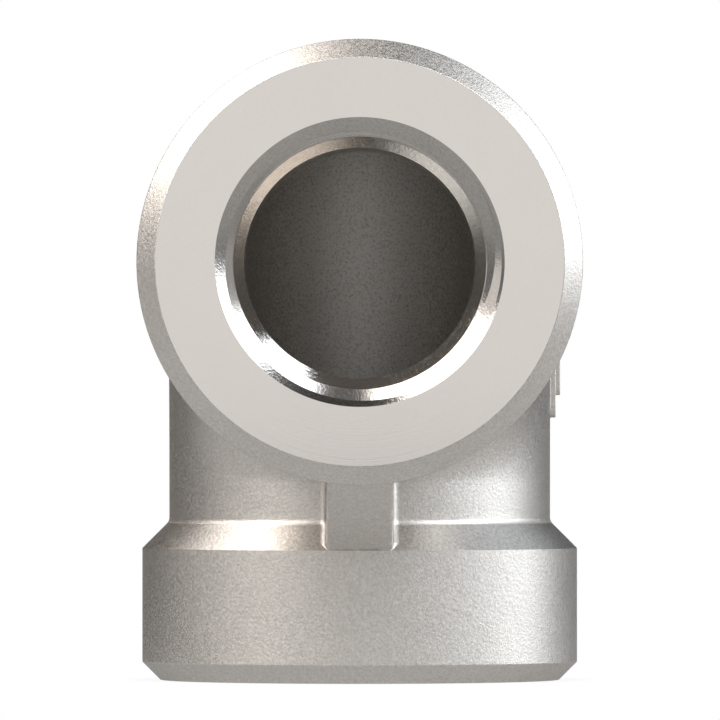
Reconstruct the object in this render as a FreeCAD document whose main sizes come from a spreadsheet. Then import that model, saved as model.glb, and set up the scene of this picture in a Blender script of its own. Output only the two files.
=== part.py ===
import FreeCAD, Part
import math
import os
import Sketcher

# Threaded ninety degree elbow, forged in one piece from stainless steel.
# Two equal legs meet at a right angle: one points down (-Z), the other to the front (-Y).
# Each leg ends in a thicker band with a drilled socket for a pipe thread, and a flat web
# fills the inner corner. The origin is the centre of the lower end face, on which it stands.

SIZES = {
    # Both legs, measured from the point where their axes cross.
    "centre_to_end": 31.5,
    "band_diameter": 33.0,
    "band_length": 8.6,
    "end_chamfer": 1.4,
    "shoulder_rise": 2.05,
    "shoulder_angle": 45.0,
    "shoulder_fillet": 0.7,
    # The hollow between the legs turns about a line across the corner, this far off the barrels.
    "crotch_radius": 2.05,
    # The web in the inner corner.
    "web_width": 5.0,
    "web_fillet": 0.5,
    "web_edge_round": 0.42,
    # Sockets for a half inch parallel pipe thread, drilled to the diameter of its crests.
    "crest_diameter": 18.85,
    "mouth_chamfer": 1.275,
    "mouth_angle": 48.7,
    "socket_depth": 14.0,
    "seat_width": 0.775,
    "seat_angle": 59.0,
    # The low raised pad on the right side, and the panel that stands on it.
    "pad_drop": 11.6,
    "pad_length": 12.0,
    "pad_width": 3.6,
    "pad_rise": 0.4,
    "pad_corner": 0.8,
    "panel_rise": 0.35,
    "panel_end_margin": 1.7,
    "panel_side_margin": 0.6,
    "panel_corner": 0.5,
}

doc = FreeCAD.newDocument("threaded_elbow")
sheet = doc.addObject("Spreadsheet::Sheet", "sizes")
for row, (name, value) in enumerate(SIZES.items(), start=1):
    sheet.set(f"A{row}", name)
    sheet.set(f"B{row}", str(value))
    sheet.setAlias(f"B{row}", name)
doc.recompute()

# Lengths that follow from the sizes, written once and used by every sketch below.
CENTRE = "sizes.centre_to_end"
BAND_RADIUS = "sizes.band_diameter / 2"
BARREL_RADIUS = f"({BAND_RADIUS} - sizes.shoulder_rise)"
CREST_RADIUS = "sizes.crest_diameter / 2"
MOUTH_RADIUS = f"({CREST_RADIUS} + sizes.mouth_chamfer)"
PASSAGE_RADIUS = f"({CREST_RADIUS} - sizes.seat_width)"
FACE_RADIUS = f"({BAND_RADIUS} - sizes.end_chamfer)"
CROTCH = f"({BARREL_RADIUS} + sizes.crotch_radius)"
BAND_TOP = "(sizes.end_chamfer + sizes.band_length)"
SHOULDER_LENGTH = "(sizes.shoulder_rise / tan(sizes.shoulder_angle * 1 deg))"
MOUTH_DEPTH = "(sizes.mouth_chamfer / tan(sizes.mouth_angle * 1 deg))"
SEAT_LENGTH = "(sizes.seat_width / tan(sizes.seat_angle * 1 deg))"

elbow = doc.addObject("PartDesign::Body", "elbow_body")
elbow.Label = "elbow_body"


def origin_item(role):
    """The body's own plane or axis with this role, such as XZ_Plane."""
    return next(item for item in elbow.Origin.OriginFeatures if item.Role == role)


def value_of(expression):
    """The number that a size expression gives with the sheet's present cells."""
    result = elbow.evalExpression(expression)
    return float(getattr(result, "Value", result))


def new_sketch(name, role):
    """An empty sketch on one of the body's own planes."""
    sketch = elbow.newObject("Sketcher::SketchObject", name)
    sketch.AttachmentSupport = (origin_item(role), [""])
    sketch.MapMode = "FlatFace"
    return sketch


def pin(sketch, item, end, across, along):
    """Ties a point of the sketch to its place: across and along are size expressions."""
    for kind, axis, expression in (("DistanceX", -2, across), ("DistanceY", -1, along)):
        if expression == "0":
            sketch.addConstraint(Sketcher.Constraint("PointOnObject", item, end, axis))
            continue
        constraint = Sketcher.Constraint(kind, -1, 1, item, end, value_of(expression))
        number = sketch.addConstraint(constraint)
        sketch.setExpression(f"Constraints[{number}]", expression)


def bind_radius(sketch, item, expression):
    """Gives an arc or a circle the radius that a size expression names."""
    number = sketch.addConstraint(Sketcher.Constraint("Radius", item, value_of(expression)))
    sketch.setExpression(f"Constraints[{number}]", expression)


def arc_between(sketch, centre, start, stop):
    """Adds the short arc from start to stop; gives its number and which end is the start."""
    flat = FreeCAD.Vector(1, 0, 0)
    turn = FreeCAD.Vector(0, 0, 1)
    arms = (start - centre, stop - centre)
    angles = [math.atan2(turn.dot(flat.cross(arm)), flat.dot(arm)) for arm in arms]
    forward = (angles[1] - angles[0]) % (2 * math.pi) < math.pi
    if not forward:
        angles.reverse()
    circle = Part.Circle(centre, turn, (start - centre).Length)
    arc = sketch.addGeometry(Part.ArcOfCircle(circle, angles[0], angles[1]), False)
    return arc, (1, 2) if forward else (2, 1)


def closed_outline(sketch, corners):
    """Lines from corner to corner and back. A third entry in a corner is its rounding radius."""
    count = len(corners)
    points = [FreeCAD.Vector(value_of(corner[0]), value_of(corner[1]), 0) for corner in corners]
    arrivals, departures, centres = list(points), list(points), {}
    for step, corner in enumerate(corners):
        if len(corner) == 3:
            size = value_of(corner[2])
            back = (points[step - 1] - points[step]).normalize()
            ahead = (points[(step + 1) % count] - points[step]).normalize()
            half_angle = back.getAngle(ahead) / 2
            arrivals[step] = points[step] + back * (size / math.tan(half_angle))
            departures[step] = points[step] + ahead * (size / math.tan(half_angle))
            centres[step] = points[step] + (back + ahead).normalize() * (size / math.sin(half_angle))
    lines = [
        sketch.addGeometry(Part.LineSegment(departures[step], arrivals[(step + 1) % count]), False)
        for step in range(count)
    ]
    for step, corner in enumerate(corners):
        before, after = lines[step - 1], lines[step]
        if step not in centres:
            sketch.addConstraint(Sketcher.Constraint("Coincident", before, 2, after, 1))
            pin(sketch, after, 1, corner[0], corner[1])
            continue
        point = sketch.addGeometry(Part.Point(points[step]), True)
        pin(sketch, point, 1, corner[0], corner[1])
        sketch.addConstraint(Sketcher.Constraint("PointOnObject", point, 1, before))
        sketch.addConstraint(Sketcher.Constraint("PointOnObject", point, 1, after))
        arc, (first_end, last_end) = arc_between(sketch, centres[step], arrivals[step], departures[step])
        sketch.addConstraint(Sketcher.Constraint("Tangent", before, 2, arc, first_end))
        sketch.addConstraint(Sketcher.Constraint("Tangent", after, 1, arc, last_end))
        bind_radius(sketch, arc, corner[2])


def feature(kind, name, bound=None, **settings):
    """A PartDesign feature of the body. What bound names takes its value from the sheet."""
    item = elbow.newObject(f"PartDesign::{kind}", name)
    for key, setting in settings.items():
        setattr(item, key, setting)
    for key, expression in (bound or {}).items():
        item.setExpression(key, expression)
    doc.recompute()
    return item


# Lower leg: end chamfer, turned band, forged shoulder with its hollow fillet, and the barrel.
leg_profile = new_sketch("leg_profile", "XZ_Plane")
closed_outline(leg_profile, [
    ("0", "0"),
    (FACE_RADIUS, "0"),
    (BAND_RADIUS, "sizes.end_chamfer"),
    (BAND_RADIUS, BAND_TOP),
    (BARREL_RADIUS, f"{BAND_TOP} + {SHOULDER_LENGTH}", "sizes.shoulder_fillet"),
    (BARREL_RADIUS, CENTRE),
    ("0", CENTRE),
])
leg = feature("Revolution", "leg", Profile=leg_profile, ReferenceAxis=(leg_profile, ["V_Axis"]))

# Heel: a ball of the barrel's radius rounds the outside of the corner.
heel = feature(
    "AdditiveSphere", "heel",
    AttachmentSupport=(origin_item("XY_Plane"), [""]), MapMode="FlatFace",
    bound={"AttachmentOffset.Base.z": CENTRE, "Radius": BARREL_RADIUS},
)

# Inner corner: a block between the legs, hollowed by a quarter turn of a spool about a line across
# the corner. The spool's waist is the barrel's outline, so the hollow meets both barrels smoothly.
corner_profile = new_sketch("corner_profile", "YZ_Plane")
closed_outline(corner_profile, [
    (f"-{CROTCH}", f"{CENTRE} - {CROTCH}"),
    ("0", f"{CENTRE} - {CROTCH}"),
    ("0", CENTRE),
    (f"-{CROTCH}", CENTRE),
])
corner_block = feature(
    "Pad", "corner_block", Profile=corner_profile, Midplane=True, bound={"Length": f"2 * {BARREL_RADIUS}"},
)

spool_profile = new_sketch("spool_profile", "XY_Plane")
spool_profile.setExpression("AttachmentOffset.Base.y", f"-{CROTCH}")
spool_profile.setExpression("AttachmentOffset.Base.z", f"{CENTRE} - {CROTCH}")
spool_places = [
    (f"-{BARREL_RADIUS}", CROTCH), (f"-{BAND_RADIUS}", CROTCH), (f"-{BAND_RADIUS}", "0"),
    (BAND_RADIUS, "0"), (BAND_RADIUS, CROTCH), (BARREL_RADIUS, CROTCH),
]
spool_points = [FreeCAD.Vector(value_of(across), value_of(along), 0) for across, along in spool_places]
spool_sides = [
    spool_profile.addGeometry(Part.LineSegment(start, stop), False)
    for start, stop in zip(spool_points, spool_points[1:])
]
waist_circle = Part.Circle(
    FreeCAD.Vector(0, value_of(CROTCH), 0), FreeCAD.Vector(0, 0, 1), value_of(BARREL_RADIUS)
)
waist = spool_profile.addGeometry(Part.ArcOfCircle(waist_circle, math.pi, 2 * math.pi), False)
for before, after in zip(spool_sides, spool_sides[1:]):
    spool_profile.addConstraint(Sketcher.Constraint("Coincident", before, 2, after, 1))
for side, place in zip(spool_sides, spool_places):
    pin(spool_profile, side, 1, *place)
pin(spool_profile, spool_sides[-1], 2, *spool_places[-1])
spool_profile.addConstraint(Sketcher.Constraint("Coincident", waist, 1, spool_sides[0], 1))
spool_profile.addConstraint(Sketcher.Constraint("Coincident", waist, 2, spool_sides[-1], 2))
level = spool_profile.addConstraint(Sketcher.Constraint("DistanceY", -1, 1, waist, 3, value_of(CROTCH)))
spool_profile.setExpression(f"Constraints[{level}]", CROTCH)
corner_hollow = feature(
    "Groove", "corner_hollow", Profile=spool_profile, ReferenceAxis=(spool_profile, ["H_Axis"]), Angle=90.0,
)

# Web: a slab up the front of the leg, with a slanting face that runs from rim to rim.
WEB_HALF = "sizes.web_width / 2"
WEB_FOOT = f"sqrt(({BAND_RADIUS}) ^ 2 - ({WEB_HALF}) ^ 2)"
web_profile = new_sketch("web_profile", "YZ_Plane")
closed_outline(web_profile, [
    (f"-{WEB_FOOT}", BAND_TOP),
    (f"{BAND_TOP} - {CENTRE}", f"{CENTRE} - {WEB_FOOT}"),
    (f"{BAND_TOP} - {CENTRE}", CENTRE),
    ("0", CENTRE),
    ("0", BAND_TOP),
])
web = feature("Pad", "web", Profile=web_profile, Midplane=True, bound={"Length": "sizes.web_width"})

# Web fillets: a hollow curve along each side of the web, where it stands on the barrel.
FILLET_CENTRE_ACROSS = f"({WEB_HALF} + sizes.web_fillet)"
FILLET_CENTRE_OUT = f"sqrt(({BARREL_RADIUS} + sizes.web_fillet) ^ 2 - {FILLET_CENTRE_ACROSS} ^ 2)"
TOUCH_SHARE = f"{BARREL_RADIUS} / ({BARREL_RADIUS} + sizes.web_fillet)"


def web_fillet_outline(sketch, side):
    """A wedge inside the web whose outer end is the hollow arc between the web and the barrel."""
    inner = (f"{side}{WEB_HALF}", "0")
    on_web = (f"{side}{WEB_HALF}", f"-{FILLET_CENTRE_OUT}")
    middle = (f"{side}{FILLET_CENTRE_ACROSS}", f"-{FILLET_CENTRE_OUT}")
    on_barrel = tuple(f"{place} * {TOUCH_SHARE}" for place in middle)
    places = (inner, on_web, on_barrel, middle)
    start, touch_web, touch_barrel, centre = (
        FreeCAD.Vector(value_of(across), value_of(along), 0) for across, along in places
    )
    up_web = sketch.addGeometry(Part.LineSegment(start, touch_web), False)
    arc, (arc_start, arc_stop) = arc_between(sketch, centre, touch_web, touch_barrel)
    back = sketch.addGeometry(Part.LineSegment(touch_barrel, start), False)
    sketch.addConstraint(Sketcher.Constraint("Coincident", up_web, 2, arc, arc_start))
    sketch.addConstraint(Sketcher.Constraint("Coincident", arc, arc_stop, back, 1))
    sketch.addConstraint(Sketcher.Constraint("Coincident", back, 2, up_web, 1))
    pin(sketch, up_web, 1, *inner)
    pin(sketch, up_web, 2, *on_web)
    pin(sketch, back, 1, *on_barrel)
    bind_radius(sketch, arc, "sizes.web_fillet")


fillet_profile = new_sketch("web_fillet_profile", "XY_Plane")
web_fillet_outline(fillet_profile, "")
web_fillet_outline(fillet_profile, "-")
web_fillets = feature("Pad", "web_fillets", Profile=fillet_profile, bound={"Length": CENTRE})

# Front leg: the whole lower leg mirrored in the mitre plane, which slants through the crossing.
mitre_plane = feature(
    "Plane", "mitre_plane",
    AttachmentSupport=(origin_item("XY_Plane"), [""]), MapMode="FlatFace",
    AttachmentOffset=FreeCAD.Placement(FreeCAD.Vector(), FreeCAD.Rotation(FreeCAD.Vector(1, 0, 0), 45)),
    bound={"AttachmentOffset.Base.z": CENTRE},
)
both_legs = feature(
    "Mirrored", "both_legs", TransformMode="Whole shape", MirrorPlane=(mitre_plane, [""]), Refine=True,
)
elbow.Tip = both_legs
doc.recompute()
half_web = value_of(WEB_HALF)


def is_web_edge(edge):
    """True for the two long edges between the web's slanting face and its sides."""
    box = edge.BoundBox
    in_a_side = box.XLength < 0.001 and abs(abs(box.XMin) - half_web) < 0.001
    return in_a_side and isinstance(edge.Curve, Part.Line) and min(box.YLength, box.ZLength) > 0.001


web_edges = [
    f"Edge{number}" for number, edge in enumerate(both_legs.Shape.Edges, start=1)
    if not edge.Degenerated and is_web_edge(edge)
]
rounded_web = feature(
    "Fillet", "rounded_web", Base=(both_legs, web_edges), bound={"Radius": "sizes.web_edge_round"},
)

# Pad and panel: a low plain bar up the right side of the lower leg, with a thinner one on it.
PAD_FOOT = f"({CENTRE} - sizes.pad_drop)"


def raised_bar(name, end_margin, side_margin, corner, top):
    """A rounded bar on the right side, set in from the pad's outline, its face at top from the axis."""
    sketch = new_sketch(f"{name}_profile", "YZ_Plane")
    half = f"(sizes.pad_width / 2 - {side_margin})"
    foot = f"{PAD_FOOT} + {end_margin}"
    head = f"{PAD_FOOT} + sizes.pad_length - {end_margin}"
    closed_outline(sketch, [
        (f"-{half}", foot, corner), (half, foot, corner), (half, head, corner), (f"-{half}", head, corner),
    ])
    return feature("Pad", name, Profile=sketch, bound={"Length": top})


pad = raised_bar("pad", "0", "0", "sizes.pad_corner", f"{BARREL_RADIUS} + sizes.pad_rise")
panel = raised_bar(
    "panel", "sizes.panel_end_margin", "sizes.panel_side_margin", "sizes.panel_corner",
    f"{BARREL_RADIUS} + sizes.pad_rise + sizes.panel_rise",
)

# Sockets: mouth chamfer, thread bore and the cone left by the drill, in both legs.
socket_profile = new_sketch("socket_profile", "XZ_Plane")
closed_outline(socket_profile, [
    ("0", "0"),
    (MOUTH_RADIUS, "0"),
    (CREST_RADIUS, MOUTH_DEPTH),
    (CREST_RADIUS, "sizes.socket_depth"),
    (PASSAGE_RADIUS, f"sizes.socket_depth + {SEAT_LENGTH}"),
    ("0", f"sizes.socket_depth + {SEAT_LENGTH}"),
])
lower_socket = feature(
    "Groove", "lower_socket", Profile=socket_profile, ReferenceAxis=(socket_profile, ["V_Axis"]),
)
front_socket = feature(
    "Mirrored", "front_socket", Originals=[lower_socket], MirrorPlane=(mitre_plane, [""]),
)
elbow.Tip = front_socket
doc.recompute()

# Passage: one round hole that turns the corner with a sharp mitre.
passage_section = new_sketch("passage_section", "XY_Plane")
flat_circle = Part.Circle(FreeCAD.Vector(), FreeCAD.Vector(0, 0, 1), value_of(PASSAGE_RADIUS))
circle = passage_section.addGeometry(flat_circle, False)
passage_section.addConstraint(Sketcher.Constraint("Coincident", circle, 3, -1, 1))
bind_radius(passage_section, circle, PASSAGE_RADIUS)
passage_section.setExpression("AttachmentOffset.Base.z", "sizes.socket_depth")

passage_path = new_sketch("passage_path", "YZ_Plane")
crossing = FreeCAD.Vector(0, value_of(CENTRE), 0)
below = FreeCAD.Vector(0, value_of("sizes.socket_depth"), 0)
ahead = FreeCAD.Vector(below.y - crossing.y, crossing.y, 0)
upward = passage_path.addGeometry(Part.LineSegment(below, crossing), False)
forward = passage_path.addGeometry(Part.LineSegment(crossing, ahead), False)
passage_path.addConstraint(Sketcher.Constraint("Coincident", upward, 2, forward, 1))
pin(passage_path, upward, 1, "0", "sizes.socket_depth")
pin(passage_path, forward, 1, "0", CENTRE)
pin(passage_path, forward, 2, f"sizes.socket_depth - {CENTRE}", CENTRE)
passage = feature(
    "SubtractivePipe", "passage",
    Profile=passage_section, Spine=(passage_path, ["Edge1", "Edge2"]), Transition="Right corner",
)
elbow.Tip = passage
doc.recompute()

# Every object has to be sound, and the body one closed solid, before the file is written.
for item in doc.Objects:
    faults = {"Invalid", "Error"} & set(item.State)
    if faults:
        raise RuntimeError(f"{item.Label} is {faults}")
if elbow.Shape.isNull() or not elbow.Shape.isValid() or len(elbow.Shape.Solids) != 1:
    raise RuntimeError(f"{elbow.Label} is not one sound solid")

os.makedirs("parts", exist_ok=True)
elbow.Shape.exportStep(f"parts/{elbow.Label}.step")
box = elbow.Shape.BoundBox
print(f"{elbow.Label}: {elbow.Shape.Volume:.1f} mm3")
print(f"width {box.XLength:.2f}, depth {box.YLength:.2f}, height {box.ZLength:.2f} mm")
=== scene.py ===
import math

import bmesh
import bpy
import numpy as np
from mathutils import Matrix


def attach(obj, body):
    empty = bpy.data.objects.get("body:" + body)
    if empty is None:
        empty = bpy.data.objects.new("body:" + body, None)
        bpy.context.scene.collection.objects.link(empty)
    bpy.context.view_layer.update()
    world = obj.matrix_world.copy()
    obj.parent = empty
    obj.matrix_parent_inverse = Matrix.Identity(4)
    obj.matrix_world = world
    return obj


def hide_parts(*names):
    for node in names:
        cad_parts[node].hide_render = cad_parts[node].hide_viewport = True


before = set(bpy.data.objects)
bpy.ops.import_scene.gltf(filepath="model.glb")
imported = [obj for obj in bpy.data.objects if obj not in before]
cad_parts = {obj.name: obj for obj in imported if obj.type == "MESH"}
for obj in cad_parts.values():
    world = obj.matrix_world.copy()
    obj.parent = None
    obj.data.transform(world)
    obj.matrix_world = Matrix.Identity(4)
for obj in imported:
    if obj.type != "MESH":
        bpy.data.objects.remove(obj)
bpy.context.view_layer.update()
MM = 0.001

# The camera stands level in front of the upper port, a little below its axis, and looks along +Y
# through a very long lens. It comes first, because everything after it is judged through it.
CAMERA_DISTANCE = 1124.0
CAMERA_HEIGHT = 24.3
FOCAL_PIXELS = 14803.0
PICTURE_SIDE = 720.0
MIDDLE_PIXEL = (359.7, 359.5)

camera_data = bpy.data.cameras.new("studio_camera")
camera_data.sensor_width = 36.0
camera_data.lens = FOCAL_PIXELS / PICTURE_SIDE * camera_data.sensor_width
camera_data.shift_x = (PICTURE_SIDE / 2 - MIDDLE_PIXEL[0]) / PICTURE_SIDE
camera_data.shift_y = (MIDDLE_PIXEL[1] - PICTURE_SIDE / 2) / PICTURE_SIDE
camera_data.clip_start = 0.01
camera_data.clip_end = 20.0
camera = bpy.data.objects.new("studio_camera", camera_data)
camera.matrix_world = Matrix.Translation((0, -CAMERA_DISTANCE * MM, CAMERA_HEIGHT * MM)) @ Matrix.Rotation(
    math.radians(90), 4, "X"
)
bpy.context.scene.collection.objects.link(camera)
bpy.context.scene.camera = camera

# The elbow is one drop-forged piece of stainless steel. It is blasted all over, and then its two
# ends are turned: the flat faces, their chamfers, the mouths and the pipe threads. All sizes are mm.
# First comes the forged skin: barrels, shoulders, the ball at the heel, the hollow and the web.
CENTRE_TO_END = 31.5
BAND_RADIUS = 16.5
BAND_TOP = 10.0
BARREL_RADIUS = 14.45
SHOULDER_FILLET = 0.7
HOLLOW_AXIS = 16.5
CHEEK_EDGE = math.radians(88.5)
WEB_HALF_WIDTH = 2.5
WEB_FACE = -37.81
WEB_FILLET = 0.5
WEB_EDGE_ROUND = 0.42
WEB_CORNER = 0.42
WEB_WALL_ROOM = 1.15
TINY = 1e-9

# How many rows and columns of points each stretch of the skin has.
CONE_ROWS = 16
CONE_CROWDING = 1.6
FILLET_ROWS = 8
UPRIGHT_ROWS = 6
BALL_ROWS = 13
WEB_FACE_COLUMNS = 6
WEB_ROUND_STEPS = 12
WEB_WALL_COLUMNS = 5
HOLLOW_COLUMNS = 58
HEEL_COLUMNS = 60
CHEEK_COLUMNS = 8


def eased(before, corner, after, steps):
    """The round in a corner: a rational quadratic curve whose ends lie on the corner's two sides and
    touch them. Its middle weight is cos 45, which makes it a circle's arc in a square corner."""
    t = np.linspace(0, 1, steps + 1).reshape((-1,) + (1,) * before.ndim)
    middle = 2 * t * (1 - t) * math.cos(math.pi / 4)
    return ((1 - t) ** 2 * before + middle * corner + t**2 * after) / ((1 - t) ** 2 + middle + t**2)


def shoulder_rows():
    """Heights and radii up the shoulder: down a 45 degree cone from the band, then a concave arc that
    ends upright on the barrel."""
    ease = SHOULDER_FILLET * math.tan(math.radians(22.5))
    foot = BAND_TOP + BAND_RADIUS - BARREL_RADIUS
    arc_start = foot - ease * math.cos(math.pi / 4)
    arc_end = foot + ease
    cone = BAND_TOP + (arc_start - BAND_TOP) * np.linspace(0, 1, CONE_ROWS) ** CONE_CROWDING
    turn = np.linspace(math.pi / 4, 0, FILLET_ROWS)[1:]
    height = np.concatenate([cone, arc_end - SHOULDER_FILLET * np.sin(turn)])
    radius = np.concatenate(
        [BAND_RADIUS + BAND_TOP - cone, BARREL_RADIUS + SHOULDER_FILLET * (1 - np.cos(turn))]
    )
    return height - CENTRE_TO_END, radius


def forged_half():
    """Half of the forged skin, from the band's top edge to the mitre plane y = w (w is the height above
    the ports' crossing). Each column runs up the barrel to w = -HOLLOW_AXIS and then on in its own x
    plane. On the heel side it ends round the ball, in an arc of radius y about (0, 0). On the other side
    it bends into the hollow, along an arc of radius HOLLOW_AXIS + y about (-HOLLOW_AXIS, -HOLLOW_AXIS).
    A flat cheek lies between the two. The web's walls run from there to its slanting face, where
    y + w = WEB_FACE."""
    w_shoulder, r_shoulder = shoulder_rows()
    upright = w_shoulder[-1] + (-HOLLOW_AXIS - w_shoulder[-1]) * np.linspace(0, 1, UPRIGHT_ROWS)[1:]
    w_low = np.concatenate([w_shoulder, upright])
    heel_run = -HOLLOW_AXIS * np.linspace(1, 0, UPRIGHT_ROWS)[1:]
    heel_turn = np.radians(np.linspace(0, 45, BALL_ROWS))[1:]
    bend_rows = heel_run.size + heel_turn.size
    hollow_turn = np.radians(np.linspace(0, 45, bend_rows + 1))[1:]
    radius = np.concatenate([r_shoulder, np.full(upright.size + bend_rows, BARREL_RADIUS)])
    start = {
        1: np.concatenate([w_low, heel_run, 0 * heel_turn]),
        -1: np.concatenate([w_low, 0 * hollow_turn - HOLLOW_AXIS]),
    }
    turn = {
        1: np.concatenate([0 * w_low, 0 * heel_run, heel_turn]),
        -1: np.concatenate([0 * w_low, hollow_turn]),
    }
    start_w = np.concatenate([w_shoulder, np.full(upright.size + bend_rows, w_shoulder[-1])])
    along_face = np.maximum(0, np.arange(1 - w_shoulder.size, upright.size + bend_rows + 1))
    along_face = along_face / along_face[-1]

    def on_skin(x, side):
        """Points of the plain skin at x, on the hollow's side (-1) or the heel's side (+1)."""
        y = side * np.sqrt(np.maximum(radius[:, None] ** 2 - x**2, 0))
        t = y if side > 0 else HOLLOW_AXIS + y
        w = start[side][:, None] + t * np.sin(turn[side])[:, None]
        return np.stack([x + 0 * y, y - t * (1 - np.cos(turn[side])[:, None]), w], axis=-1)

    def on_face(x):
        """Points of the web's slanting face at x, or of the skin where that stands out further."""
        w = start_w + along_face * (WEB_FACE / 2 - start_w)
        y = np.minimum((WEB_FACE - w)[:, None], -np.sqrt(radius[:, None] ** 2 - x**2))
        return np.stack([x + 0 * y, y, w[:, None] + 0 * y], axis=-1)

    above = np.clip(start_w + CENTRE_TO_END - BAND_TOP, 0, WEB_CORNER)
    half_width = WEB_HALF_WIDTH - WEB_CORNER + np.sqrt(WEB_CORNER**2 - (WEB_CORNER - above) ** 2)
    half_width = half_width[:, None]
    foot_corner = on_skin(half_width, -1)
    face_corner = on_face(half_width)
    wall = face_corner - foot_corner
    height = np.linalg.norm(wall, axis=-1, keepdims=True)
    wall = wall / np.maximum(height, TINY)
    share = np.minimum(1, height / (WEB_WALL_ROOM * (WEB_FILLET + WEB_EDGE_ROUND)))
    fillet, round_off = WEB_FILLET * share, WEB_EDGE_ROUND * share
    foot = on_skin(half_width + fillet[..., 0], -1)
    wall_low = foot_corner + fillet * wall
    wall_high = face_corner - round_off * wall
    face_side = on_face(half_width - round_off[..., 0])
    face = on_face(np.linspace(0, 1, WEB_FACE_COLUMNS) * (half_width - round_off[..., 0]))
    rounded_edge = eased(face_side, face_corner, wall_high, WEB_ROUND_STEPS)[1:, :, 0]
    flat_wall = wall_high + np.linspace(0, 1, WEB_WALL_COLUMNS)[None, 1:, None] * (wall_low - wall_high)
    web_foot = eased(wall_low, foot_corner, foot, WEB_ROUND_STEPS)[1:, :, 0]
    right_web = np.concatenate(
        [face, rounded_edge.swapaxes(0, 1), flat_wall, web_foot.swapaxes(0, 1)], axis=1
    )
    from_web = np.arcsin(foot[:, :, 0] / radius[:, None])
    hollow_angle = from_web + (CHEEK_EDGE - from_web) * np.linspace(0, 1, HOLLOW_COLUMNS)[None, 1:]
    hollow_side = on_skin(radius[:, None] * np.sin(hollow_angle), -1)
    heel_side = on_skin(radius[:, None] * np.sin(np.linspace(CHEEK_EDGE, 0, HEEL_COLUMNS)), 1)
    across = np.linspace(0, 1, CHEEK_COLUMNS)[None, 1:-1, None]
    cheek = hollow_side[:, -1:] + across * (heel_side[:, :1] - hollow_side[:, -1:])
    right = np.concatenate([right_web, hollow_side, cheek, heel_side], axis=1)
    left = right[:, -2::-1] * (-1, 1, 1)
    return np.concatenate([right, left], axis=1)


def side_of_skin(y, w):
    """How far out the skin is on its +X side: a circle's height over the distance from the cheek."""
    to_hollow = HOLLOW_AXIS - np.hypot(HOLLOW_AXIS + y, np.maximum(HOLLOW_AXIS + w, 0))
    to_heel = np.hypot(np.maximum(y, 0), np.maximum(w, 0))
    return np.sqrt(BARREL_RADIUS**2 - np.maximum(np.maximum(to_hollow, to_heel), 0) ** 2)


# The turned ends: the band's flat edge, its chamfer, the flat face and the mouth's edge. The corners
# are eased a little, and a guard row on each side of a round keeps the shading of the flats flat.
END_CHAMFER = 1.37
MOUTH_RADIUS = 10.7
FACE_EDGE_EASE = 0.04
BAND_EDGE_EASE = 0.07
EDGE_GUARD = 0.02
BAND_ROWS = 6
EASE_STEPS = 6
FACE_ROWS = 5


def turned_half(angle):
    """The turned outside of an end: a profile of depth and radius carried round the axis, from the
    band's top edge over the chamfer and the flat face to the mouth's edge. Each corner is eased."""
    corners = np.array(
        [
            (BAND_TOP, BAND_RADIUS),
            (END_CHAMFER, BAND_RADIUS),
            (0, BAND_RADIUS - END_CHAMFER),
            (0, MOUTH_RADIUS),
        ]
    )
    side = np.diff(corners, axis=0)
    side = side / np.linalg.norm(side, axis=1, keepdims=True)
    easing = np.array([[BAND_EDGE_EASE], [FACE_EDGE_EASE]])
    before, after = corners[1:3] - easing * side[:-1], corners[1:3] + easing * side[1:]
    rounds = eased(before, corners[1:3], after, EASE_STEPS)
    up_band, along_chamfer, over_face = EDGE_GUARD * side
    band = corners[0] + np.linspace(0, 1, BAND_ROWS)[1:-1, None] * (before[0] - up_band - corners[0])
    face_run = np.linspace(0, 1, FACE_ROWS)[:, None] * (corners[3] - after[1] - over_face)
    face = after[1] + over_face + face_run
    chamfer = np.array([after[0] + along_chamfer, before[1] - along_chamfer])
    guard = before[:1] - up_band
    profile = np.concatenate([band, guard, rounds[:, 0], chamfer, rounds[:, 1], face])
    depth, radius = profile[:, :1], profile[:, 1:]
    return np.stack(
        [radius * np.cos(angle), radius * np.sin(angle), depth + 0 * angle - CENTRE_TO_END], axis=-1
    )


# The sockets: a mouth cone, a right-hand pipe thread with its run-out, a seat behind it and the passage
# to the mitre. Over a short arc, at the low left of the front port, the seat is a little shallower.
MOUTH_SLOPE = 1.137
CREST_RADIUS = 9.425
ROOT_RADIUS = 10.4775
PITCH = 1.814
ROOT_FLAT = 0.30
FLANK_SLOPE = math.tan(math.radians(27.5))
THREAD_END = 13.2
RUN_OUT = 2.2
FIRST_TURN = -3
LAST_TURN = math.ceil(THREAD_END / PITCH) + 1
SOCKET_DEPTH = 14.0
SEAT_END = 14.466
SEAT_LOW_SPOT = math.radians(232)
SEAT_LOW_WIDTH = math.radians(15)
SEAT_LOW_BY = 0.11
SEAT_ROWS = 2
PASSAGE_RADIUS = 8.65
PASSAGE_ROWS = 6


def thread_radius(depth, turns):
    """Radius of the threaded wall: the crest's radius plus a groove with 55 degree flanks and a flat
    root, once a pitch, which fades out over RUN_OUT before THREAD_END."""
    from_groove = np.abs((depth / PITCH - turns + 0.5) % 1 - 0.5) * PITCH
    groove = np.clip((ROOT_FLAT / 2 - from_groove) / FLANK_SLOPE + ROOT_RADIUS, CREST_RADIUS, ROOT_RADIUS)
    return CREST_RADIUS + (groove - CREST_RADIUS) * np.clip((THREAD_END - depth) / RUN_OUT, 0, 1)


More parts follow.
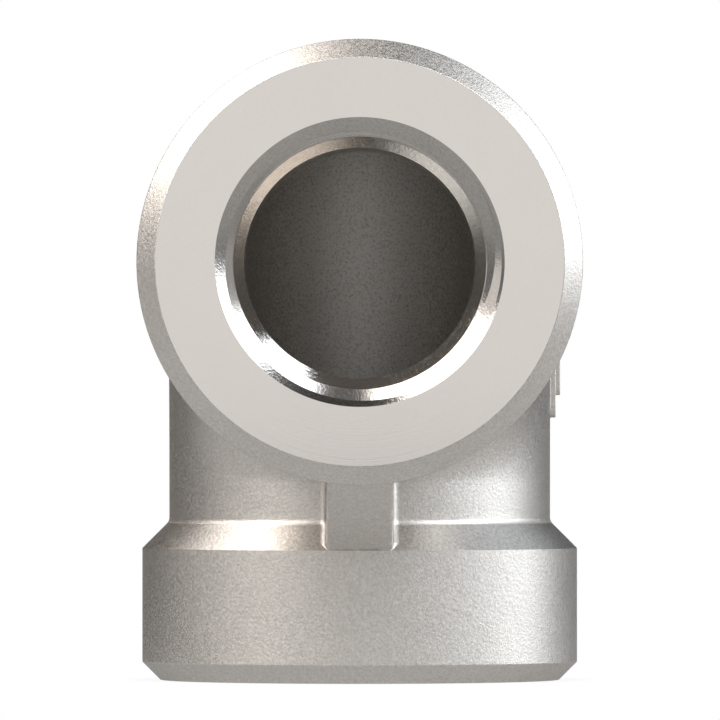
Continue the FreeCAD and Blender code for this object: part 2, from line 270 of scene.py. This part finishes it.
def threaded_half(angle, hand, start):
    """The socket and the passage behind it, as depth and radius over the angle. The rows are every
    corner that the wall has at that angle, sorted by depth: the groove's four edges on each turn and
    its cuts with the mouth's cone, so that each edge of the thread is an edge of the mesh."""
    turns = hand * angle / (2 * math.pi) + start
    turns = turns - math.floor(turns.min())
    centre = (np.arange(FIRST_TURN, LAST_TURN + 1)[:, None] + turns) * PITCH
    root, crest = ROOT_FLAT / 2, ROOT_FLAT / 2 + (ROOT_RADIUS - CREST_RADIUS) * FLANK_SLOPE
    to_root = (MOUTH_RADIUS - ROOT_RADIUS) / MOUTH_SLOPE
    deep_cut = (centre + root - to_root) / (1 / MOUTH_SLOPE - FLANK_SLOPE)
    near_cut = (centre - root - to_root) / (1 / MOUTH_SLOPE + FLANK_SLOPE)
    depth_of_groove = ROOT_RADIUS - CREST_RADIUS
    deep_cut = centre + root + np.clip(deep_cut, 0, depth_of_groove) * FLANK_SLOPE
    near_cut = centre - root - np.clip(near_cut, 0, depth_of_groove) * FLANK_SLOPE
    cone_end = np.full((1, angle.size), (MOUTH_RADIUS - CREST_RADIUS) / MOUTH_SLOPE)
    root_cut = np.full((1, angle.size), to_root)
    fade = np.full((1, angle.size), THREAD_END - RUN_OUT)
    rows = [centre - crest, centre - root, centre + root, centre + crest, deep_cut, near_cut]
    rows = rows + [root_cut, cone_end, fade]
    depth = np.sort(np.clip(np.concatenate(rows), 0, THREAD_END), axis=0)
    radius = np.maximum(thread_radius(depth, turns), MOUTH_RADIUS - MOUTH_SLOPE * depth)
    low_spot = np.exp(-(((angle - SEAT_LOW_SPOT) / SEAT_LOW_WIDTH) ** 4))
    seat_end = SEAT_END - SEAT_LOW_BY * low_spot
    seat = np.stack([SOCKET_DEPTH + 0 * angle, seat_end])
    seat_radius = np.array([[CREST_RADIUS], [PASSAGE_RADIUS]]) + 0 * angle
    to_mitre = np.linspace(0, 1, PASSAGE_ROWS + 1)[1:, None]
    mitre = CENTRE_TO_END + PASSAGE_RADIUS * np.sin(angle)
    passage = seat_end + to_mitre * (mitre - seat_end)
    depth = np.concatenate([depth, seat, passage])
    radius = np.concatenate([radius, seat_radius, PASSAGE_RADIUS + 0 * passage])
    return np.stack([radius * np.cos(angle), radius * np.sin(angle), depth - CENTRE_TO_END], axis=-1)


def half_of_elbow(hand, start):
    """One leg as a grid of points, from the outer mitre over its end and through its socket to the
    inner mitre, with the number of the row at the mouth's edge."""
    forged = forged_half()
    angle = np.unwrap(np.arctan2(forged[0, :, 1], forged[0, :, 0]))
    angle[-1] = angle[0] + 2 * math.pi
    turned = turned_half(angle)
    socket = threaded_half(angle, hand, start)
    rows = np.concatenate([forged[::-1], turned, socket])
    return rows, forged.shape[0] + turned.shape[0] - 1


def grid_faces(rows, columns, first):
    """The four-sided faces between neighbouring rows and columns of a grid of points."""
    corner = first + np.arange(rows - 1)[:, None] * columns + np.arange(columns - 1)
    return np.stack([corner, corner + columns, corner + columns + 1, corner + 1], axis=-1).reshape(-1, 4)


# The bar on the lower barrel's +X side: a low pad with rounded corners, and on it a smaller panel that
# is plain as well. Both are forged in one with the skin.
BAR_MIDDLE = 25.9
BAR_EDGE = 0.07
BAR_ROOT = 0.6
BAR_LAP = 0.01
BAR_STEPS = 5
CORNER_POINTS = 9
PAD_TOP = 14.85
PANEL_TOP = 15.2


def raised_bar(half_width, half_length, corner, seat, top, fillet):
    """A raised bar with rounded corners on the barrel's +X side. Each row is its outline, moved out by
    an offset, at a height: out over the flat top, round its edge, down the wall and out along a fillet
    to what carries it, then in again below the skin. The rows' offsets and heights run along it."""
    quarter = np.linspace(0, math.pi / 2, CORNER_POINTS)
    angle = np.append(np.concatenate([quarter + math.pi / 2 * k for k in range(4)]), 0)
    sign_y = np.append(np.repeat([1, -1, -1, 1], CORNER_POINTS), 1)
    sign_z = np.append(np.repeat([1, 1, -1, -1], CORNER_POINTS), 1)
    core_y, core_z = sign_y * (half_width - corner), sign_z * (half_length - corner)
    foot_z = core_z + corner * np.sin(angle) + BAR_MIDDLE - CENTRE_TO_END
    carried = seat(core_y + corner * np.cos(angle), foot_z)
    zero = 0 * angle
    over = eased(
        np.stack([zero - BAR_EDGE, zero + top], axis=-1),
        np.stack([zero, zero + top], axis=-1),
        np.stack([zero, zero + top - BAR_EDGE], axis=-1),
        BAR_STEPS,
    )
    out = eased(
        np.stack([zero, carried + fillet], axis=-1),
        np.stack([zero, carried], axis=-1),
        np.stack([zero + fillet, carried - BAR_LAP], axis=-1),
        BAR_STEPS,
    )
    below = np.stack([zero + fillet, carried - BAR_ROOT], axis=-1)[None]
    middle = np.stack([zero, zero + top], axis=-1)[None]
    rows = np.concatenate([middle, over, out, below, below])
    inner = np.ones((rows.shape[0], 1))
    inner[[0, -1]] = 0
    reach = (corner + rows[..., 0]) * inner
    y = core_y * inner + reach * np.cos(angle)
    z = core_z * inner + reach * np.sin(angle)
    height = np.where(inner > 0, rows[..., 1], rows[..., 1].min(axis=1, keepdims=True))
    return np.stack([height, y, z + BAR_MIDDLE - CENTRE_TO_END], axis=-1)


def top_of_pad(y, w):
    """How far out the flat top of the pad is."""
    return PAD_TOP + 0 * y


pad = raised_bar(
    half_width=1.8, half_length=6.0, corner=0.8, seat=side_of_skin, top=PAD_TOP, fillet=0.1
)
panel = raised_bar(
    half_width=1.2, half_length=4.3, corner=0.5, seat=top_of_pad, top=PANEL_TOP, fillet=0.07
)

# The whole mesh. The front leg is a lower leg with y and z swapped, so its thread winds the other way
# first. A start is how deep a groove lies at angle 0, in turns. In the front port the groove's middle is
# GROOVE_SUNK below the end face where GROOVE_AT is, in degrees clockwise from three o'clock.
LOWER_START = 0.35
GROOVE_SUNK = 0.0457
GROOVE_AT = 325
FRONT_START = GROOVE_SUNK / PITCH - GROOVE_AT / 360
SKIN, FACE, THREAD, PASSAGE, CONE, SEAT, SHOULDER = 0, 1, 2, 3, 4, 5, 6
CONE_REACH = 1.2
ON_SURFACE = 0.01
MERGE_WITHIN = 0.002
FLAT_EDGE = 0.0001
SHARP_ANGLE = math.radians(9.5)

lower, turned_rows = half_of_elbow(1, LOWER_START)
front, _ = half_of_elbow(-1, FRONT_START)
front = front[..., [0, 2, 1]]
grids = [lower, front, pad, panel]
firsts = np.cumsum([0] + [grid.shape[0] * grid.shape[1] for grid in grids])
points = np.concatenate([grid.reshape(-1, 3) for grid in grids]) + (0, 0, CENTRE_TO_END)
faces = np.concatenate([grid_faces(*grid.shape[:2], first) for grid, first in zip(grids, firsts)])
elbow_mesh = bpy.data.meshes.new("elbow")
elbow_mesh.from_pydata((points * MM).tolist(), [], faces.tolist())
row_of_face = np.tile(np.repeat(np.arange(lower.shape[0] - 1), lower.shape[1] - 1), 2)
finish_of_row = np.full(lower.shape[0] - 1, SKIN, np.int32)
finish_of_row[turned_rows - FACE_ROWS:] = FACE
finish_of_row[turned_rows:] = THREAD
finish_of_row[-PASSAGE_ROWS - SEAT_ROWS:] = SEAT
finish_of_row[-PASSAGE_ROWS:] = PASSAGE
bar_faces = np.full(faces.shape[0] - row_of_face.size, SKIN, np.int32)
finish = np.append(finish_of_row[row_of_face], bar_faces)
middle = points[faces].mean(axis=1) - (0, 0, CENTRE_TO_END)
leg = np.minimum(middle[:, 1], middle[:, 2]) + CENTRE_TO_END
from_axis = np.hypot(middle[:, 0], np.maximum(middle[:, 1], middle[:, 2]))
off_cone = np.abs(from_axis - MOUTH_RADIUS + MOUTH_SLOPE * leg)
finish[(finish == THREAD) & (leg < CONE_REACH) & (off_cone < ON_SURFACE)] = CONE
beside_web = (np.abs(middle[:, 0]) > WEB_HALF_WIDTH + WEB_FILLET) | (middle[:, 1:].max(axis=1) > 0)
on_cone = (leg > BAND_TOP) & (np.abs(from_axis + leg - BAND_RADIUS - BAND_TOP) < ON_SURFACE)
finish[(finish == SKIN) & on_cone & beside_web] = SHOULDER
elbow_mesh.polygons.foreach_set("material_index", finish)

shell = bmesh.new()
shell.from_mesh(elbow_mesh)
bmesh.ops.remove_doubles(shell, verts=shell.verts, dist=MERGE_WITHIN * MM)
bmesh.ops.dissolve_degenerate(shell, edges=shell.edges, dist=FLAT_EDGE * MM)
bmesh.ops.recalc_face_normals(shell, faces=shell.faces)
shell.to_mesh(elbow_mesh)
shell.free()
elbow_mesh.polygons.foreach_set("use_smooth", np.ones(len(elbow_mesh.polygons), bool))
elbow_mesh.set_sharp_from_angle(angle=SHARP_ANGLE)

elbow = bpy.data.objects.new("elbow", elbow_mesh)
bpy.context.scene.collection.objects.link(elbow)

# The finishes share two patterns, each a node group. Blasting leaves small round pits all over, on top
# of the slow unevenness of a forged skin.
UNEVEN_SCALE = 260.0


def group_with(name, inputs, outputs):
    """A shader node group with these named number inputs and its outputs, and its two end nodes."""
    group = bpy.data.node_groups.new(name, "ShaderNodeTree")
    for label, value in inputs.items():
        socket = group.interface.new_socket(label, in_out="INPUT", socket_type="NodeSocketFloat")
        socket.default_value = value
    for label in outputs:
        group.interface.new_socket(label, in_out="OUTPUT", socket_type="NodeSocketFloat")
    return group, group.nodes.new("NodeGroupInput"), group.nodes.new("NodeGroupOutput")


def math_node(tree, operation, first, second=None, third=None):
    """One step of arithmetic on two sockets or numbers."""
    node = tree.nodes.new("ShaderNodeMath")
    node.operation = operation
    for socket, value in zip(node.inputs, (first, second, third)):
        if isinstance(value, (int, float)):
            socket.default_value = value
        elif value is not None:
            tree.links.new(value, socket)
    return node.outputs[0]


blast_group, given, result = group_with("blast_grain", {"Grain mm": 0.2}, ["Pits", "Unevenness"])
place = blast_group.nodes.new("ShaderNodeTexCoord")
pits = blast_group.nodes.new("ShaderNodeTexNoise")
pits.inputs["Detail"].default_value = 2.0
pits.inputs["Roughness"].default_value = 0.75
blast_group.links.new(place.outputs["Object"], pits.inputs["Vector"])
pit_scale = math_node(blast_group, "DIVIDE", 1 / MM, given.outputs["Grain mm"])
blast_group.links.new(pit_scale, pits.inputs["Scale"])
uneven = blast_group.nodes.new("ShaderNodeTexNoise")
uneven.inputs["Scale"].default_value = UNEVEN_SCALE
uneven.inputs["Detail"].default_value = 3.0
blast_group.links.new(place.outputs["Object"], uneven.inputs["Vector"])
blast_group.links.new(pits.outputs["Fac"], result.inputs["Pits"])
blast_group.links.new(uneven.outputs["Fac"], result.inputs["Unevenness"])

# The lathe leaves fine rings round each end's axis. An end's axis is the one on whose side of the
# mitre plane the point lies, so the same group serves both ends.
turn_group, given, result = group_with("turning_rings", {"Ring mm": 0.1}, ["Rings"])
place = turn_group.nodes.new("ShaderNodeTexCoord")
part = turn_group.nodes.new("ShaderNodeSeparateXYZ")
turn_group.links.new(place.outputs["Object"], part.inputs[0])
above = math_node(turn_group, "SUBTRACT", part.outputs["Z"], CENTRE_TO_END * MM)
front_end = math_node(turn_group, "LESS_THAN", part.outputs["Y"], above)
aside = turn_group.nodes.new("ShaderNodeMix")
turn_group.links.new(front_end, aside.inputs[0])
turn_group.links.new(part.outputs["Y"], aside.inputs[2])
turn_group.links.new(above, aside.inputs[3])
x_square = math_node(turn_group, "MULTIPLY", part.outputs["X"], part.outputs["X"])
square = math_node(turn_group, "MULTIPLY_ADD", aside.outputs[0], aside.outputs[0], x_square)
from_axis = math_node(turn_group, "SQRT", square)
rings = turn_group.nodes.new("ShaderNodeTexNoise")
rings.noise_dimensions = "1D"
rings.inputs["Scale"].default_value = 1.0
rings.inputs["Detail"].default_value = 2.0
ring_width = math_node(turn_group, "MULTIPLY", given.outputs["Ring mm"], MM)
ring_count = math_node(turn_group, "DIVIDE", from_axis, ring_width)
turn_group.links.new(ring_count, rings.inputs["W"])
turn_group.links.new(rings.outputs["Fac"], result.inputs["Rings"])


def steel(name, colours, roughness, depth, speck, grain=0.2, ring_depth=0.0, edge_tint=1.0):
    """Stainless steel. Its colour wanders between two tones with the unevenness, and its gloss between
    two roughnesses with the pits, whose grain and depth are in mm and which speckle the colour by speck.
    Turned rings can lie under them, and an edge tint below 1 dims what is seen at a glancing angle."""
    material = bpy.data.materials.new(name)
    material.use_nodes = True
    tree = material.node_tree
    shader = tree.nodes["Principled BSDF"]
    shader.inputs["Metallic"].default_value = 1.0
    shader.inputs["Specular Tint"].default_value = (edge_tint, edge_tint, edge_tint, 1)
    blast = tree.nodes.new("ShaderNodeGroup")
    blast.node_tree = blast_group
    blast.inputs["Grain mm"].default_value = grain
    tone = tree.nodes.new("ShaderNodeMix")
    tone.data_type = "RGBA"
    tone.inputs[6].default_value = (*colours[0], 1)
    tone.inputs[7].default_value = (*colours[1], 1)
    tree.links.new(blast.outputs["Unevenness"], tone.inputs[0])
    speckle = tree.nodes.new("ShaderNodeMix")
    speckle.data_type = "RGBA"
    speckle.blend_type = "MULTIPLY"
    speckle.inputs[0].default_value = 1.0
    tree.links.new(tone.outputs[2], speckle.inputs[6])
    specks = math_node(tree, "MULTIPLY_ADD", blast.outputs["Pits"], speck, 1 - speck / 2)
    tree.links.new(specks, speckle.inputs[7])
    tree.links.new(speckle.outputs[2], shader.inputs["Base Color"])
    gloss = tree.nodes.new("ShaderNodeMapRange")
    gloss.inputs["To Min"].default_value = roughness[0]
    gloss.inputs["To Max"].default_value = roughness[1]
    tree.links.new(blast.outputs["Pits"], gloss.inputs["Value"])
    tree.links.new(gloss.outputs[0], shader.inputs["Roughness"])
    bump = tree.nodes.new("ShaderNodeBump")
    bump.inputs["Strength"].default_value = 1.0
    bump.inputs["Distance"].default_value = depth * MM
    height = blast.outputs["Pits"]
    if ring_depth:
        turned = tree.nodes.new("ShaderNodeGroup")
        turned.node_tree = turn_group
        height = math_node(tree, "MULTIPLY_ADD", turned.outputs["Rings"], ring_depth / depth, height)
    tree.links.new(height, bump.inputs["Height"])
    tree.links.new(bump.outputs["Normal"], shader.inputs["Normal"])
    return material


def ramp(tree, value, low, high, at_low, at_high):
    """A smooth step of a value from at_low, below low, to at_high, above high."""
    node = tree.nodes.new("ShaderNodeMapRange")
    node.interpolation_type = "SMOOTHSTEP"
    for label, number in zip(("From Min", "From Max", "To Min", "To Max"), (low, high, at_low, at_high)):
        node.inputs[label].default_value = number
    tree.links.new(value, node.inputs["Value"])
    return node.outputs[0]


def painted_side_shade(material, full, fully_shaded, share):
    """Painted shade: dims the colour to that share where x is large, from full colour at the first given
    distance to that share at the second, in mm.
    """
    tree = material.node_tree
    shader = tree.nodes["Principled BSDF"]
    colour = shader.inputs["Base Color"].links[0].from_socket
    place = tree.nodes.new("ShaderNodeTexCoord")
    part = tree.nodes.new("ShaderNodeSeparateXYZ")
    tree.links.new(place.outputs["Object"], part.inputs[0])
    aside = math_node(tree, "ABSOLUTE", part.outputs["X"])
    dimmed = tree.nodes.new("ShaderNodeMix")
    dimmed.data_type = "RGBA"
    dimmed.blend_type = "MULTIPLY"
    dimmed.inputs[0].default_value = 1.0
    tree.links.new(colour, dimmed.inputs[6])
    tree.links.new(ramp(tree, aside, full * MM, fully_shaded * MM, 1.0, share), dimmed.inputs[7])
    tree.links.new(dimmed.outputs[2], shader.inputs["Base Color"])
    return material


SKIN_TONES = ((0.63, 0.597, 0.56), (0.682, 0.643, 0.602))
# Painted light: the passage's tones are near white, far above the skin's, to brighten its deep far wall.
PASSAGE_PAINTED_LIGHT_TONES = ((0.96, 0.917, 0.868), (0.99, 0.947, 0.897))
MOUTH_TONES = ((0.46, 0.435, 0.41), (0.5, 0.473, 0.445))
THREAD_TONES = ((0.57, 0.54, 0.505), (0.6, 0.567, 0.53))
# Painted shade: the seat's tones are much darker than the other turned steel, to darken it deep in the
# socket.
SEAT_PAINTED_SHADE_TONES = ((0.37, 0.352, 0.334), (0.4, 0.381, 0.362))
TURNED_TONES = ((0.55, 0.52, 0.492), (0.57, 0.539, 0.51))
drilled_passage_painted_light = steel("drilled_passage_painted_light", PASSAGE_PAINTED_LIGHT_TONES, (0.55, 0.62), depth=0.034, speck=1.3, grain=0.19)
finishes = {
    SKIN: steel("blasted_steel", SKIN_TONES, (0.3, 0.6), depth=0.022, speck=0.7, edge_tint=0.5),
    FACE: steel("turned_face", TURNED_TONES, (0.06, 0.08), depth=0.0003, speck=0.06, ring_depth=0.0003),
    THREAD: steel("turned_thread", THREAD_TONES, (0.1, 0.18), depth=0.008, speck=0.3),
    # Painted shade on the passage: its far wall darkens towards the sides.
    PASSAGE: painted_side_shade(drilled_passage_painted_light, full=4.0, fully_shaded=8.6, share=0.58),
    CONE: steel("turned_mouth", MOUTH_TONES, (0.1, 0.24), depth=0.014, speck=0.5),
    SEAT: steel("turned_seat_painted_shade", SEAT_PAINTED_SHADE_TONES, (0.06, 0.14), depth=0.012, speck=0.5),
    SHOULDER: steel(
        "blasted_shoulder", SKIN_TONES, (0.22, 0.5), depth=0.031, speck=1.1, grain=0.22, edge_tint=0.2
    ),
}
for index in sorted(finishes):
    elbow_mesh.materials.append(finishes[index])
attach(elbow, "root")
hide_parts("elbow_body")

# The studio's floor. In the part's reflections it glows, as painted light: bright in front, and with
# painted shade close by, behind and within the lower port. To the camera it is white, but for a faint
# shade where the part stands.
FLOOR_CORNERS = [(-8, -2, 0), (8, -2, 0), (8, 14, 0), (-8, 14, 0)]
floor_mesh = bpy.data.meshes.new("floor")
floor_mesh.from_pydata(FLOOR_CORNERS, [], [(0, 1, 2, 3)])
floor = bpy.data.objects.new("floor", floor_mesh)
bpy.context.scene.collection.objects.link(floor)
paint = bpy.data.materials.new("pale_floor")
paint.use_nodes = True
tree = paint.node_tree
place = tree.nodes.new("ShaderNodeTexCoord")
axes = tree.nodes.new("ShaderNodeSeparateXYZ")
tree.links.new(place.outputs["Object"], axes.inputs[0])
# Painted light and shade: the glow is dimmer near the part and behind it, brighter far ahead and dark
# within the lower port.
near = ramp(tree, axes.outputs["Y"], -0.08, -0.04, 0.36, 0.57)
ahead = math_node(tree, "MULTIPLY", near, ramp(tree, axes.outputs["Y"], -0.6, -0.25, 1.55, 1.0))
behind = ramp(tree, axes.outputs["Y"], -0.01, 0.07, 1.0, 0.15)
painted_floor_glow = tree.nodes.new("ShaderNodeEmission")
from_port = tree.nodes.new("ShaderNodeVectorMath")
from_port.operation = "LENGTH"
tree.links.new(place.outputs["Object"], from_port.inputs[0])
port_painted_shade = ramp(tree, from_port.outputs["Value"], 0.008, 0.011, 0.1, 1.0)
open_floor = math_node(tree, "MULTIPLY", ahead, behind)
tree.links.new(math_node(tree, "MULTIPLY", open_floor, port_painted_shade), painted_floor_glow.inputs["Strength"])
shade = tree.nodes.new("ShaderNodeAmbientOcclusion")
shade.inputs["Distance"].default_value = 0.003
white = tree.nodes.new("ShaderNodeEmission")
tree.links.new(ramp(tree, shade.outputs["AO"], 0.35, 1.0, 0.95, 1.0), white.inputs["Strength"])
seen = tree.nodes.new("ShaderNodeLightPath")
either = tree.nodes.new("ShaderNodeMixShader")
tree.links.new(seen.outputs["Is Camera Ray"], either.inputs[0])
tree.links.new(painted_floor_glow.outputs[0], either.inputs[1])
tree.links.new(white.outputs[0], either.inputs[2])
tree.links.new(either.outputs[0], tree.nodes["Material Output"].inputs["Surface"])
floor_mesh.materials.append(paint)

# The studio's room is dim, brightest in front and darkest overhead. To the camera it is plain white.
world = bpy.data.worlds.new("studio")
bpy.context.scene.world = world
world.use_nodes = True
tree = world.node_tree
room = tree.nodes["Background"]
room.inputs["Color"].default_value = (1, 1, 1, 1)
direction = tree.nodes.new("ShaderNodeTexCoord")
axes = tree.nodes.new("ShaderNodeSeparateXYZ")
tree.links.new(direction.outputs["Generated"], axes.inputs[0])
front_light = ramp(tree, axes.outputs["Y"], -1.0, 0.5, 0.56, 0.04)
top_dark = ramp(tree, axes.outputs["Z"], 0.3, 0.95, 1.0, 0.25)
tree.links.new(math_node(tree, "MULTIPLY", front_light, top_dark), room.inputs["Strength"])
backdrop = tree.nodes.new("ShaderNodeBackground")
backdrop.inputs["Strength"].default_value = 1.0
backdrop.inputs["Color"].default_value = (1, 1, 1, 1)
seen = tree.nodes.new("ShaderNodeLightPath")
either = tree.nodes.new("ShaderNodeMixShader")
tree.links.new(seen.outputs["Is Camera Ray"], either.inputs[0])
tree.links.new(room.outputs[0], either.inputs[1])
tree.links.new(backdrop.outputs[0], either.inputs[2])
tree.links.new(either.outputs[0], tree.nodes["World Output"].inputs["Surface"])

# The studio's lights: a large warm softbox high on the left, a long cool one on the right, and four
# small ones that fill in from the front, the low left and the back.
POWER_PER_AREA = 4
WARM, NEUTRAL, COOL, COLD = (1.0, 0.96, 0.92), (1.0, 0.995, 0.99), (0.88, 0.94, 1.0), (0.84, 0.92, 1.0)
UPRIGHT = (0, 0, 1)


def softbox(name, towards, along, distance, size, glow, colour):
    """A rectangular studio light in that direction from the ports' crossing, at that distance in m. It
    faces the crossing, its second side runs as near along the given line as it can, and its power
    follows its area, so that glow is its brightness."""
    lamp = bpy.data.lights.new(name, "AREA")
    lamp.shape = "RECTANGLE"
    lamp.size, lamp.size_y = size
    lamp.energy = glow * POWER_PER_AREA * size[0] * size[1]
    lamp.color = colour
    lamp_object = bpy.data.objects.new(name, lamp)
    back = np.array(towards) / np.linalg.norm(towards)
    across = np.cross(along, back)
    across /= np.linalg.norm(across)
    up = np.cross(back, across)
    turn = Matrix([[across[i], up[i], back[i]] for i in range(3)]).to_4x4()
    spot = Matrix.Translation(tuple(back * distance + (0, 0, CENTRE_TO_END * MM)))
    lamp_object.matrix_world = spot @ turn
    bpy.context.scene.collection.objects.link(lamp_object)


softbox("softbox_left", (-0.636, -0.315, 0.705), (-0.107, 0.986, -0.126), 0.607, (0.557, 0.69), 3.4, WARM)
softbox("softbox_right", (0.828, -0.282, 0.485), (-0.529, -0.718, 0.451), 0.6, (0.35, 1.117), 3.5, COOL)
softbox("softbox_front", (0.0, -1.0, 0.0), UPRIGHT, 1.3, (0.3, 0.3), 0.5, NEUTRAL)
softbox("softbox_low_left", (-0.8, -0.6, 0.1), UPRIGHT, 0.9, (0.3, 0.3), 0.35, WARM)
softbox("softbox_back_left", (-0.39, 0.4, 0.83), (0.6, 0.7, 0.0), 0.7, (0.4, 0.4), 1.15, WARM)
softbox("softbox_back", (0.5, 0.5, 0.7), (-0.6, 0.75, 0.0), 0.7, (0.35, 0.45), 0.75, COLD)
bpy.context.scene.view_settings.view_transform = "Standard"
